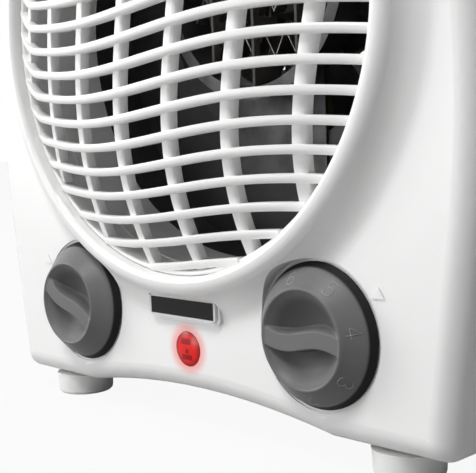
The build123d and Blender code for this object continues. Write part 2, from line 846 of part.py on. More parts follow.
with BuildPart() as badge_plate:
    with BuildSketch(front_plane(badge_y)):
        with Locations((0, badge_z)):
            RectangleRounded(badge_width, badge_height, badge_height / 4)
    extrude(amount=badge_thickness)
save(badge_plate.part, "badge_plate")

# Air duct behind the neck: flange, chamber, back plate, fan shroud and motor spider
spider_y = shroud_end_y - spider_thickness
with BuildPart() as air_duct:
    add(tube("flange", 0, outlet_z, duct_bore_r, duct_flange_r, neck_end_y, chamber_y))
    chamber_outer_r = duct_bore_r + duct_wall
    add(tube("chamber", 0, outlet_z, duct_bore_r, chamber_outer_r, chamber_y, back_plate_y))
    add(rod(0, outlet_z, chamber_outer_r, back_plate_y, back_plate_y + duct_wall))
    add(rod(0, unit_z, shroud_r + duct_wall, back_plate_y + duct_wall, shroud_end_y))
    add(rod(0, unit_z, shroud_r, back_plate_y, shroud_end_y), mode=Mode.SUBTRACT)
    for x, z in tab_places:
        add(tube("tab", x, z, screw_r + screw_gap, tab_r, neck_end_y, chamber_y))
    with BuildSketch(front_plane(spider_y)):
        with Locations((0, unit_z)):
            Circle(spider_ring_r)
            for turn in (45, 135):
                Rectangle(2 * shroud_r + duct_wall, spider_arm_width, rotation=turn)
            Circle(spider_bore_r, mode=Mode.SUBTRACT)
            with GridLocations(2 * motor_screw_x, 1, 2, 1):
                Circle(screw_r, mode=Mode.SUBTRACT)
    extrude(amount=-spider_thickness)
save(air_duct.part, "air_duct")

# Element: steel ring on two legs, upright mica boards and folded ribbons threaded through them
element_y = back_plate_y - element_depth
leg_y = back_plate_y - element_leg_thickness
with BuildPart() as element_frame:
    element_outer_r = element_r + element_wall
    add(tube("ring", 0, unit_z, element_r, element_outer_r, element_y, back_plate_y))
    add(tube("rim", 0, unit_z, element_r, element_outer_r + element_rim, element_y, element_y + element_wall))
    with BuildSketch(front_plane(leg_y)):
        with Locations((0, unit_z - (element_leg_drop - element_top_leg) / 2)):
            Rectangle(element_leg_width, element_leg_drop + element_top_leg)
        with Locations((0, unit_z)):
            Circle(element_r, mode=Mode.SUBTRACT)
    extrude(amount=-element_leg_thickness)
save(element_frame.part, "element_frame")

mica_y = element_y + (element_depth - mica_depth) / 2
ribbon_y = mica_y + (mica_depth - ribbon_width) / 2
row_heights = [unit_z + (row - (ribbon_rows - 1) / 2) * ribbon_row_pitch for row in range(ribbon_rows)]
window_half = ribbon_fold_height / 2 + ribbon_thickness + mica_gap
for name, x in (("mica_board_left", -mica_pitch), ("mica_board_centre", 0), ("mica_board_right", mica_pitch)):
    half_chord = sqrt((element_r - fit_gap) ** 2 - (abs(x) + mica_thickness / 2) ** 2)
    with BuildPart() as mica_board:
        with Locations((x, mica_y + mica_depth / 2, unit_z)):
            Box(mica_thickness, mica_depth, 2 * half_chord)
        for row_z in row_heights:
            with Locations((x, mica_y + mica_depth / 2, row_z)):
                Box(2 * mica_thickness, ribbon_width + 2 * mica_gap, 2 * window_half, mode=Mode.SUBTRACT)
    save(mica_board.part, name)


def ribbon_row(row_z):
    """Flat heating wire folded into a zigzag across the ring at one height."""
    reach = sqrt(element_r**2 - (abs(row_z - unit_z) + ribbon_fold_height / 2) ** 2) - ribbon_end_gap
    folds = int(2 * reach / ribbon_fold_pitch)
    half = ribbon_fold_height / 2
    points = []
    for fold in range(folds + 1):
        side = 1 if fold % 2 else -1
        points.append(((fold - folds / 2) * ribbon_fold_pitch, row_z + side * half))
    with BuildPart() as row:
        with BuildSketch(front_plane(ribbon_y)):
            with BuildLine():
                upper = [(x, z + ribbon_thickness / 2) for x, z in points]
                lower = [(x, z - ribbon_thickness / 2) for x, z in reversed(points)]
                Polyline(*upper, *lower, close=True)
            make_face()
        extrude(amount=-ribbon_width)
    return row.part


for name, rows in (("heating_ribbon_lower", row_heights[:2]), ("heating_ribbon_upper", row_heights[2:])):
    with BuildPart() as ribbons:
        for row_z in rows:
            add(ribbon_row(row_z))
    save(ribbons.part, name)

cutout_z = unit_z + element_r + element_wall + element_rim + cutout_r
save(rod(0, cutout_z, cutout_r, leg_y - cutout_thickness, leg_y), "thermal_cutout")
with BuildPart() as thermal_fuse:
    fuse_x = element_leg_width / 3
    with Locations((fuse_x, leg_y - fuse_r, cutout_z)):
        Cylinder(fuse_r, fuse_length)
save(thermal_fuse.part, "thermal_fuse")

# Fan: cup hub with twisted blades, on the motor shaft
fan_end_y = fan_y + fan_hub_depth
with BuildPart() as fan:
    with BuildSketch(turning_plane(0, unit_z)):
        with BuildLine():
            Polyline(
                (shaft_r, fan_y),
                (fan_hub_r - fan_hub_wall, fan_y),
                (fan_hub_r, fan_y + fan_hub_wall),
                (fan_hub_r, fan_end_y),
                (fan_hub_r - fan_hub_wall, fan_end_y),
                (fan_hub_r - fan_hub_wall, fan_y + fan_hub_wall),
                (fan_hub_core_r, fan_y + fan_hub_wall),
                (fan_hub_core_r, fan_end_y - fan_hub_wall),
                (shaft_r, fan_end_y - fan_hub_wall),
                close=True,
            )
        make_face()
    revolve(axis=turning_axis(0, unit_z))
    blade_y = fan_y + fan_hub_depth / 2
    for blade in range(fan_blades):
        turn = 360 * blade / fan_blades
        stations = (
            (fan_hub_r - fan_hub_wall / 2, fan_root_chord, fan_root_angle),
            ((fan_hub_r + fan_r) / 2, (fan_root_chord + fan_tip_chord) / 2, (fan_root_angle + fan_tip_angle) / 2),
            (fan_r, fan_tip_chord, fan_tip_angle),
        )
        for radius, chord, angle in stations:
            outward = Vector(sin(radians(turn)), 0, cos(radians(turn)))
            along = Vector(cos(radians(turn)), 0, -sin(radians(turn)))
            origin = Vector(0, blade_y, unit_z) + outward * radius
            with BuildSketch(Plane(origin=origin, x_dir=along, z_dir=outward)):
                Rectangle(chord, blade_thickness, rotation=angle)
        loft(ruled=True)
save(fan.part, "fan")

# Motor: laminated frame with a bored head, wound bobbin on its lower bar, rotor and shaft
shaft_front_y = fan_y - clip_thickness - shaft_front_reach
shaft_end_y = rear_bracket_y + bracket_thickness + shaft_rear_reach
stator_low = bar_top - coil_bar_height
save(rod(0, unit_z, shaft_r, shaft_front_y, shaft_end_y), "motor_shaft")
save(tube("fan_clip", 0, unit_z, shaft_r, clip_r, fan_y - clip_thickness, fan_y), "fan_clip")
save(tube("motor_rotor", 0, unit_z, shaft_r, rotor_r, stator_y, stator_y + stator_thickness), "motor_rotor")

with BuildPart() as motor_stator:
    with BuildSketch(front_plane(stator_y)):
        with Locations((0, unit_z + (stator_top + stator_low) / 2)):
            Rectangle(stator_width, stator_top - stator_low)
        with Locations((0, unit_z)):
            Circle(bore_r, mode=Mode.SUBTRACT)
            with GridLocations(2 * motor_screw_x, 1, 2, 1):
                Circle(screw_r + screw_gap, mode=Mode.SUBTRACT)
        with Locations((0, unit_z + window_top - window_height / 2)):
            Rectangle(window_width, window_height, mode=Mode.SUBTRACT)
    extrude(amount=-stator_thickness)
save(motor_stator.part, "motor_stator")

coil_y = stator_y + stator_thickness / 2
bobbin_hole_depth = stator_thickness + 2 * fit_gap
bobbin_hole_height = coil_bar_height + 2 * fit_gap
with BuildPart() as coil_bobbin:
    flange_depth = bobbin_hole_depth + 2 * coil_wrap
    flange_height = bobbin_hole_height + 2 * coil_wrap
    with Locations((0, coil_y, coil_z)):
        Box(coil_length, bobbin_hole_depth + 2 * bobbin_wall, bobbin_hole_height + 2 * bobbin_wall)
    for side in (-1, 1):
        with Locations((side * (coil_length - bobbin_flange) / 2, coil_y, coil_z)):
            Box(bobbin_flange, flange_depth, flange_height)
    with Locations((0, coil_y, coil_z)):
        Box(coil_length, bobbin_hole_depth, bobbin_hole_height, mode=Mode.SUBTRACT)
save(coil_bobbin.part, "coil_bobbin")

winding_length = coil_length - 2 * bobbin_flange
with BuildPart() as motor_coil:
    with Locations((0, coil_y, coil_z)):
        Box(winding_length, flange_depth - bobbin_wall, flange_height - bobbin_wall)
    fillet(motor_coil.edges().filter_by(Axis.X), bobbin_wall)
    with Locations((0, coil_y, coil_z)):
        core_depth = bobbin_hole_depth + 2 * bobbin_wall
        core_height = bobbin_hole_height + 2 * bobbin_wall
        Box(winding_length, core_depth, core_height, mode=Mode.SUBTRACT)
save(motor_coil.part, "motor_coil")

# Bearing straps on round spacers, with a sintered bush in each
for end, strap_y, spacer_y in (
    ("front", shroud_end_y, shroud_end_y + bracket_thickness),
    ("rear", rear_bracket_y, rear_bracket_y - bracket_standoff),
):
    with BuildPart() as bracket:
        with BuildSketch(front_plane(strap_y)):
            with Locations((0, unit_z)):
                SlotOverall(stator_width, bracket_height)
                Circle(bearing_r, mode=Mode.SUBTRACT)
                with GridLocations(2 * motor_screw_x, 1, 2, 1):
                    Circle(screw_r + screw_gap, mode=Mode.SUBTRACT)
        extrude(amount=-bracket_thickness)
        for side in (-1, 1):
            spacer_x = side * motor_screw_x
            spacer_end = spacer_y + bracket_standoff
            add(tube("spacer", spacer_x, unit_z, screw_r + screw_gap, standoff_r, spacer_y, spacer_end))
    save(bracket.part, f"bearing_bracket_{end}")
    bush_y = strap_y + bracket_thickness / 2 - bearing_length / 2
    bush = tube("bush", 0, unit_z, shaft_r + shaft_gap, bearing_r, bush_y, bush_y + bearing_length)
    save(bush, f"motor_bearing_{end}")


def pan_screw(x, z, head_y, length, facing):
    """Pan-head screw along Y, its head under head_y on the side that facing gives."""
    tip_y = head_y - facing * length
    points = [(0, head_y + facing * screw_head_height), (screw_head_r, head_y + facing * screw_head_height)]
    points += [(screw_head_r, head_y), (screw_r, head_y), (screw_r, tip_y), (0, tip_y)]
    return turned("screw", x, z, points)


motor_screw_length = rear_bracket_y + bracket_thickness - spider_y - spider_thickness / 4
with BuildPart() as motor_screws:
    for side in (-1, 1):
        add(pan_screw(side * motor_screw_x, unit_z, rear_bracket_y + bracket_thickness, motor_screw_length, 1))
save(motor_screws.part, "motor_screws")

with BuildPart() as duct_screws:
    for x, z in tab_places:
        add(pan_screw(x, z, chamber_y, duct_screw_length, 1))
save(duct_screws.part, "duct_screws")

with BuildPart() as shell_screws:
    for x, z in shell_screw_places:
        add(pan_screw(x, z, part_y + boss_floor, boss_floor + shell_screw_length - screw_head_height, 1))
save(shell_screws.part, "shell_screws")

# Mains inlet: bushing in the back wall, cord clamp on two posts, terminal block on two more
with BuildPart() as cord_gland:
    with BuildSketch(turning_plane(gland_x, gland_z)):
        with BuildLine():
            Polyline(
                (gland_bore_r, rear_y - gland_lip),
                (gland_r, rear_y - gland_lip),
                (gland_r, rear_y - wall),
                (gland_lip_r, rear_y - wall),
                (gland_lip_r, rear_y - 3 * wall),
                (gland_bore_r, rear_y - 3 * wall),
                close=True,
            )
        make_face()
    revolve(axis=turning_axis(gland_x, gland_z))
save(cord_gland.part, "cord_gland")

clamp_y = rear_y - clamp_inset
with BuildPart() as cord_clamp:
    with BuildSketch(Plane.XY.offset(gland_z)):
        with Locations((gland_x, clamp_y)):
            RectangleRounded(2 * (clamp_post_x + clamp_half_depth), 2 * clamp_half_depth, clamp_half_depth / 2)
            with GridLocations(2 * clamp_post_x, 1, 2, 1):
                Circle(screw_r + screw_gap, mode=Mode.SUBTRACT)
    extrude(amount=clamp_height)
save(cord_clamp.part, "cord_clamp")

with BuildPart() as clamp_screws:
    for side in (-1, 1):
        with Locations((gland_x + side * clamp_post_x, clamp_y, gland_z + clamp_height + screw_head_height / 2)):
            Cylinder(screw_head_r, screw_head_height)
        shank_length = clamp_screw_length + clamp_height - 1
        with Locations((gland_x + side * clamp_post_x, clamp_y, gland_z + clamp_height - shank_length / 2)):
            Cylinder(screw_r, shank_length)
save(clamp_screws.part, "clamp_screws")

terminal_y = rear_y - terminal_inset
with BuildPart() as terminal_block:
    with BuildSketch(Plane.XY.offset(terminal_seat_z)):
        with Locations((terminal_x, terminal_y)):
            Rectangle(terminal_width, terminal_depth)
    extrude(amount=terminal_height)
    with BuildSketch(Plane.XY.offset(terminal_seat_z + terminal_height)):
        with Locations((terminal_x, terminal_y)):
            with GridLocations(terminal_screw_pitch, 1, 3, 1):
                Circle(terminal_screw_r + screw_gap)
    extrude(amount=-terminal_height / 2, mode=Mode.SUBTRACT)
save(terminal_block.part, "terminal_block")

with BuildPart() as terminal_screws:
    with BuildSketch(Plane.XY.offset(terminal_seat_z + terminal_height / 2)):
        with Locations((terminal_x, terminal_y)):
            with GridLocations(terminal_screw_pitch, 1, 3, 1):
                Circle(terminal_screw_r)
    extrude(amount=terminal_height / 3)
save(terminal_screws.part, "terminal_screws")
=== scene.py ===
from math import cos, hypot, pi, radians, sin, sqrt

import bmesh
import bpy
from mathutils import Matrix, Vector


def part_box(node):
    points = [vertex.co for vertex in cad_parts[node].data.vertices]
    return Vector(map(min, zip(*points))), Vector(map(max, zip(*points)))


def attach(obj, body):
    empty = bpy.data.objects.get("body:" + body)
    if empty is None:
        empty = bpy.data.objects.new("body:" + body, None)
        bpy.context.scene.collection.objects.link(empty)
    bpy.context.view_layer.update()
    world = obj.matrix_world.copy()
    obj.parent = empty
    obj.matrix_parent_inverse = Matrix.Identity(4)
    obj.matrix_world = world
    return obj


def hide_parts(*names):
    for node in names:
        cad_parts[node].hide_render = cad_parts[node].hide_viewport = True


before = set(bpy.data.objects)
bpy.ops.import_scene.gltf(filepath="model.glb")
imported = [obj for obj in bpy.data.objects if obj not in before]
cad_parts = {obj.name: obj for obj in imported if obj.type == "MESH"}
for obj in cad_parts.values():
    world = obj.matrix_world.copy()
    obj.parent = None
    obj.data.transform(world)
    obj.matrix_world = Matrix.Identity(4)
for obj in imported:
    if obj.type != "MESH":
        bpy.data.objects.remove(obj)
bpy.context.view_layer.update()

# The floor of the studio is white paper. To the camera it is nearly white, and it still
# takes the heater's shadow.
paper_half = 6.0
paper_tone = (0.4, 0.4, 0.4, 1)
paper_glow = 0.93
floor_bm = bmesh.new()
bmesh.ops.create_grid(floor_bm, x_segments=4, y_segments=4, size=paper_half)
floor_mesh = bpy.data.meshes.new("floor")
floor_bm.to_mesh(floor_mesh)
floor_bm.free()
floor = bpy.data.objects.new("floor", floor_mesh)
bpy.context.scene.collection.objects.link(floor)

paper = bpy.data.materials.new("white_paper")
paper.use_nodes = True
nodes, links = paper.node_tree.nodes, paper.node_tree.links
sheet = nodes["Principled BSDF"]
sheet.inputs["Base Color"].default_value = paper_tone
sheet.inputs["Roughness"].default_value = 0.9
glow = nodes.new("ShaderNodeEmission")
glow.inputs["Strength"].default_value = 1.0
path = nodes.new("ShaderNodeLightPath")
seen = nodes.new("ShaderNodeMath")
seen.operation = "MULTIPLY"
seen.inputs[1].default_value = paper_glow
links.new(path.outputs["Is Camera Ray"], seen.inputs[0])
blend = nodes.new("ShaderNodeMixShader")
links.new(seen.outputs[0], blend.inputs[0])
links.new(sheet.outputs[0], blend.inputs[1])
links.new(glow.outputs[0], blend.inputs[2])
links.new(blend.outputs[0], nodes["Material Output"].inputs["Surface"])
floor.data.materials.append(paper)

# The room behind is white, and shows white in gloss, metal and glass too. What it sheds on
# the heater is weaker.
room_light = 0.15
world = bpy.data.worlds.new("studio")
bpy.context.scene.world = world
world.use_nodes = True
nodes, links = world.node_tree.nodes, world.node_tree.links
room = nodes["Background"]
room.inputs["Color"].default_value = (1, 1, 1, 1)
room.inputs["Strength"].default_value = room_light
wall = nodes.new("ShaderNodeBackground")
wall.inputs["Color"].default_value = (1, 1, 1, 1)
wall.inputs["Strength"].default_value = 1.0
path = nodes.new("ShaderNodeLightPath")
mirrored = nodes.new("ShaderNodeMath")
mirrored.operation = "MAXIMUM"
shown = nodes.new("ShaderNodeMath")
shown.operation = "MAXIMUM"
links.new(path.outputs["Is Glossy Ray"], mirrored.inputs[0])
links.new(path.outputs["Is Transmission Ray"], mirrored.inputs[1])
links.new(path.outputs["Is Camera Ray"], shown.inputs[0])
links.new(mirrored.outputs[0], shown.inputs[1])
blend = nodes.new("ShaderNodeMixShader")
links.new(shown.outputs[0], blend.inputs[0])
links.new(room.outputs[0], blend.inputs[1])
links.new(wall.outputs[0], blend.inputs[2])
links.new(blend.outputs[0], nodes["World Output"].inputs["Surface"])

# Soft boxes: one high in front that puts the gloss on the knobs, one at the left that leaves
# the +X side in half shade, a weak one low in front for the lower edge, and one for the back.
aim = Vector((0, 0, 0.08))
for name, place, side, watts in (
    ("high_softbox", (0.02, -0.52, 0.86), 0.25, 5.6),
    ("left_softbox", (-1.1, -0.7, 0.45), 0.5, 7.6),
    ("low_softbox", (-0.3, -0.75, 0.07), 0.25, 1.5),
    ("back_softbox", (-0.3, 1.3, 0.6), 0.8, 11.0),
):
    lamp = bpy.data.lights.new(name, "AREA")
    lamp.shape = "SQUARE"
    lamp.size = side
    lamp.energy = watts
    softbox = bpy.data.objects.new(name, lamp)
    softbox.location = place
    softbox.rotation_mode = "QUATERNION"
    softbox.rotation_quaternion = (aim - Vector(place)).to_track_quat("-Z", "Y")
    bpy.context.scene.collection.objects.link(softbox)

# The camera stands close in front of the heater, to its right and low, and looks a little
# down on it.
mm = 0.001
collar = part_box("front_shell")[0].y / mm
camera_right, camera_rise, camera_stand_off = 213.5, 86.3, 181.0
azimuth, elevation, roll = radians(45.34), radians(5.56), radians(-2.07)
back = Vector((sin(azimuth) * cos(elevation), -cos(azimuth) * cos(elevation), sin(elevation)))
right = Vector((cos(azimuth), sin(azimuth), 0))
up = back.cross(right)
right_rolled = cos(roll) * right + sin(roll) * up
up_rolled = cos(roll) * up - sin(roll) * right
lens = bpy.data.cameras.new("camera")
lens.sensor_width = 36
lens.lens = 73.56
lens.clip_start = 0.01
camera = bpy.data.objects.new("camera", lens)
stand = (camera_right * mm, (collar - camera_stand_off) * mm, camera_rise * mm)
turned = Matrix((right_rolled, up_rolled, back)).transposed().to_4x4()
camera.matrix_world = Matrix.Translation(stand) @ turned
bpy.context.scene.collection.objects.link(camera)
bpy.context.scene.camera = camera
bpy.context.scene.view_settings.view_transform = "Standard"

# The casing is two white mouldings with the satin skin of the tool, screwed together from
# behind at a seam round the body. Round the pilot lens the white is painted pink: a painted
# glow for the lamp's red light coming through the plastic.
moulded_skin = bpy.data.node_groups.new("moulded_skin", "ShaderNodeTree")
sockets = moulded_skin.interface
sockets.new_socket("Grain", in_out="INPUT", socket_type="NodeSocketFloat")
sockets.new_socket("Normal", in_out="OUTPUT", socket_type="NodeSocketVector")
sockets.new_socket("Cloud", in_out="OUTPUT", socket_type="NodeSocketFloat")
nodes, links = moulded_skin.nodes, moulded_skin.links
taken = nodes.new("NodeGroupInput")
given = nodes.new("NodeGroupOutput")
place = nodes.new("ShaderNodeTexCoord")
grain = nodes.new("ShaderNodeTexNoise")
grain.inputs["Scale"].default_value = 2600
grain.inputs["Detail"].default_value = 3
cloud = nodes.new("ShaderNodeTexNoise")
cloud.inputs["Scale"].default_value = 22
cloud.inputs["Detail"].default_value = 4
bump = nodes.new("ShaderNodeBump")
bump.inputs["Distance"].default_value = 0.00006
links.new(place.outputs["Object"], grain.inputs["Vector"])
links.new(place.outputs["Object"], cloud.inputs["Vector"])
links.new(grain.outputs["Fac"], bump.inputs["Height"])
links.new(taken.outputs["Grain"], bump.inputs["Strength"])
links.new(bump.outputs["Normal"], given.inputs["Normal"])
links.new(cloud.outputs["Fac"], given.inputs["Cloud"])


def moulded(name, colour, clouded, roughness, strength):
    """Plastic as it comes from the mould: colour, the colour in its clouding, gloss and grain."""
    material = bpy.data.materials.new(name)
    material.use_nodes = True
    nodes, links = material.node_tree.nodes, material.node_tree.links
    plastic = nodes["Principled BSDF"]
    plastic.inputs["Roughness"].default_value = roughness
    skin = nodes.new("ShaderNodeGroup")
    skin.node_tree = moulded_skin
    skin.inputs["Grain"].default_value = strength
    tone = nodes.new("ShaderNodeMix")
    tone.name = "tone"
    tone.data_type = "RGBA"
    tone.inputs[6].default_value = (*colour, 1)
    tone.inputs[7].default_value = (*clouded, 1)
    links.new(skin.outputs["Cloud"], tone.inputs[0])
    links.new(tone.outputs[2], plastic.inputs["Base Color"])
    links.new(skin.outputs["Normal"], plastic.inputs["Normal"])
    return material


def dress(material, slot, *names):
    """Give CAD nodes their finish."""
    for name in names:
        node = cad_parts[name]
        node.data.materials.clear()
        node.data.materials.append(material)


casing_white = moulded("white_casing", (0.89, 0.89, 0.885), (0.86, 0.86, 0.855), 0.38, 0.35)
nodes, links = casing_white.node_tree.nodes, casing_white.node_tree.links
face_depth = 7.5
painted_glow_start, painted_glow_end = 4.9, 9.5
lens_low, lens_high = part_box("pilot_lens")
lens_middle = (lens_low + lens_high) / 2
place = nodes.new("ShaderNodeTexCoord")
middle = nodes.new("ShaderNodeVectorMath")
middle.operation = "DISTANCE"
middle.inputs[1].default_value = (lens_middle.x, (collar + face_depth) * mm, lens_middle.z)
# Painted glow: near the lens the casing's colour is mixed towards red, fading outward, in place of the lamp's
# light.
painted_lamp_glow = nodes.new("ShaderNodeMapRange")
painted_lamp_glow.interpolation_type = "SMOOTHERSTEP"
painted_lamp_glow.inputs["From Min"].default_value = painted_glow_start * mm
painted_lamp_glow.inputs["From Max"].default_value = painted_glow_end * mm
painted_lamp_glow.inputs["To Min"].default_value = 0.6
painted_lamp_glow.inputs["To Max"].default_value = 0
glow_tint = nodes.new("ShaderNodeMix")
glow_tint.data_type = "RGBA"
glow_tint.inputs[7].default_value = (0.95, 0.16, 0.14, 1)
links.new(place.outputs["Object"], middle.inputs[0])
links.new(middle.outputs["Value"], painted_lamp_glow.inputs["Value"])
links.new(painted_lamp_glow.outputs["Result"], glow_tint.inputs[0])
links.new(nodes["tone"].outputs[2], glow_tint.inputs[6])
links.new(glow_tint.outputs[2], nodes["Principled BSDF"].inputs["Base Color"])
dress(casing_white, "white_shell", "front_shell", "rear_shell")

# The outlet grille is one white moulding pushed into the collar: 20 wavy bars that follow a
# dome, seven waved ribs behind their fronts, and a skirt. The fronts are round, as moulded.
grille_white = moulded("white_grille", (0.9, 0.9, 0.895), (0.87, 0.87, 0.865), 0.35, 0.3)
outlet_z = 123.0
dome_r = 202.5
dome_rise = 10.6
dome_y = collar - dome_rise + dome_r
hold_r = 74.1
swing_length = 142.3
bar_count, bar_pitch, bar_drop, bar_half, bar_depth = 20, 7.34, 1.33, 1.25, 3.4
rib_count, rib_pitch, rib_shift, rib_half, rib_depth = 7, 21.33, -8.65, 1.8, 3.2
rib_setback = 1.6
front_round = [(1.0, 1.0), (1.0, 0.24), (0.86, 0.07), (0.45, 0.0)]
bar_round = front_round + [(-side, share) for side, share in reversed(front_round)]


def bar_swing(x):
    """Height of the wave that every bar follows, hooked upward near its left end."""
    hook = 4.0 * max(0.0, (-x - 60) / 12) ** 2
    return hook + 2.7 * sin(2 * pi * (x - 9.7) / swing_length)


def rib_swing(z):
    """Sideways wave that every rib follows."""
    return 5.2 * sin(2 * pi * (z + 16.4) / swing_length)


def dome_front(x, z, setback):
    """Depth of the dome's layer at a place in the opening."""
    return dome_y - sqrt((dome_r - setback) ** 2 - x * x - z * z)


def reach_of(offset, swing):
    """How far a bar or rib runs each way before it meets the skirt."""
    ends = []
    for side in (-1, 1):
        reach = 0.0
        while hypot(reach, offset + swing(side * reach)) < hold_r:
            reach += 0.05
        ends.append(side * reach)
    return ends


def sweep(bm, line, across, half, front, depth):
    """Sweep the rounded section along a line of (x, z) places, half wide across it."""
    rings = []
    for x, z in line:
        ring = []
        for side, share in bar_round:
            px, pz = x + across[0] * side * half, z + across[1] * side * half
            y0 = dome_front(px, pz, front)
            y1 = dome_front(px, pz, front + depth)
            y = y0 + share * (y1 - y0)
            ring.append(bm.verts.new((px * mm, y * mm, (outlet_z + pz) * mm)))
        rings.append(ring)
    for before, after in zip(rings, rings[1:]):
        for i in range(len(bar_round)):
            j = (i + 1) % len(bar_round)
            bm.faces.new((before[i], before[j], after[j], after[i]))
    bm.faces.new(rings[0])
    bm.faces.new(rings[-1][::-1])


def settle(bm, name, material, body):
    """Turn a finished bmesh into a smooth piece that rides on a body."""
    bmesh.ops.recalc_face_normals(bm, faces=bm.faces)
    mesh = bpy.data.meshes.new(name)
    bm.to_mesh(mesh)
    bm.free()
    mesh.shade_smooth()
    mesh.materials.append(material)
    piece = bpy.data.objects.new(name, mesh)
    bpy.context.scene.collection.objects.link(piece)
    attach(piece, body)
    return piece


grille = bmesh.new()
bar_steps = 72
for bar in range(bar_count):
    height = -bar_drop + (bar - (bar_count - 1) / 2) * bar_pitch
    start, end = reach_of(height, bar_swing)
    line = []
    for i in range(bar_steps + 1):
        x = start + (end - start) * i / bar_steps
        line.append((x, height + bar_swing(x)))
    sweep(grille, line, (0, 1), bar_half, 0.0, bar_depth)
rib_steps = 60
for rib in range(rib_count):
    across = rib_shift + (rib - (rib_count - 1) / 2) * rib_pitch
    start, end = reach_of(across, rib_swing)
    line = []
    for i in range(rib_steps + 1):
        z = start + (end - start) * i / rib_steps
        line.append((across + rib_swing(z), z))
    sweep(grille, line, (1, 0), rib_half, rib_setback, rib_depth)
skirt = [(73.4, 14), (73.4, 4.3), (73.7, 3.9), (74.1, 3.75), (74.5, 3.9), (74.8, 4.3), (74.8, 14)]
skirt_turns = 180
rings = []
for i in range(skirt_turns):
    a = 2 * pi * i / skirt_turns
    ring = []
    for r, y in skirt:
        ring.append(grille.verts.new((r * sin(a) * mm, (collar + y) * mm, (outlet_z + r * cos(a)) * mm)))
    rings.append(ring)
for i in range(skirt_turns):
    before, after = rings[i], rings[(i + 1) % skirt_turns]
    for j in range(len(skirt)):
        k = (j + 1) % len(skirt)
        grille.faces.new((before[j], before[k], after[k], after[j]))
grille = settle(grille, "outlet_grille", grille_white, "housing")
crease = grille.modifiers.new("edges", "EDGE_SPLIT")
crease.split_angle = radians(50)
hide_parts("front_grille")

# The knobs are dark grey mouldings with a fine grain: coned band, soft lip, bowl and a wavy
# finger grip across it. Painted shade darkens the deep bowl and paints the side wall black,
# and the same mask makes them rougher. Each is pushed on its spindle.
knob_grey = moulded("knob_grey", (0.175, 0.175, 0.178), (0.145, 0.145, 0.148), 0.36, 0.9)
nodes, links = knob_grey.node_tree.nodes, knob_grey.node_tree.links
# Painted shade: this mask mixes the knob's grey towards black in the deep bowl and on the side wall.
painted_shade_mask = nodes.new("ShaderNodeAttribute")
painted_shade_mask.attribute_name = "painted_shade_and_gloss"
shade_black = nodes.new("ShaderNodeMix")
shade_black.data_type = "RGBA"
shade_black.inputs[7].default_value = (0.008, 0.008, 0.009, 1)
gloss = nodes.new("ShaderNodeMapRange")
gloss.inputs["To Min"].default_value = 0.38
gloss.inputs["To Max"].default_value = 0.6
links.new(painted_shade_mask.outputs["Fac"], shade_black.inputs[0])
links.new(nodes["tone"].outputs[2], shade_black.inputs[6])
links.new(shade_black.outputs[2], nodes["Principled BSDF"].inputs["Base Color"])
links.new(painted_shade_mask.outputs["Fac"], gloss.inputs["Value"])
links.new(gloss.outputs["Result"], nodes["Principled BSDF"].inputs["Roughness"])
nodes["Principled BSDF"].inputs["Specular IOR Level"].default_value = 0.2
knob_x, knob_z = 50.9, 35.6
bowl_r, lip_r, band_r, side_r, knob_r = 12.5, 13.1, 13.7, 18.1, 19.5
bowl_depth, bowl_round = 5.6, 18.1
lip_round = 0.6
band_fall, side_fall = 4.5, 2.6
grip_half, grip_wave, grip_lean, grip_top = 2.75, 1.1, 0.35, 0.25
grip_reach, grip_end = 12.9, 13.3
flank_start, flank_width, flank_fall = 0.6, 1.6, 7.5
softness = 0.3
bowl_painted_shade = 0.45


def clamped(value):
    """A share kept between 0 and 1."""
    return min(max(value, 0.0), 1.0)


def band_depth(r):
    """Depth of the knob's turned face behind the collar's front, at a radius."""
    if r < bowl_r:
        return bowl_depth - bowl_round + sqrt(bowl_round**2 - r * r)
    if r < band_r:
        return lip_round - sqrt(max(lip_round**2 - (r - lip_r) ** 2, 0))
    if r < side_r:
        return lip_round + (r - band_r) * band_fall / (side_r - band_r)
    return lip_round + band_fall + (r - side_r) * side_fall / (knob_r - side_r)


def knob_depth(x, z):
    """Depth of the knob's face, softened, with its grip."""
    r = hypot(x, z)
    taps = (-0.5, -0.3, -0.1, 0.1, 0.3, 0.5)
    band = sum(band_depth(min(abs(r + t), knob_r)) for t in taps) / len(taps)
    if r > grip_end:
        return band
    along = x / grip_reach
    grip_line = grip_wave * sin(pi * along) - grip_lean * (1 + along)
    half = grip_half + 0.4 * max(0.0, abs(along) - 0.55)
    out = clamped((abs(z - grip_line) - (half - flank_start)) / flank_width)
    fall = out * out * (3 - 2 * out)
    grip = grip_top + 0.12 * along**2 + fall * flank_fall
    return min(band, grip) - softness * max(0.0, 1 - abs(band - grip) / (3 * softness)) ** 2 / 2


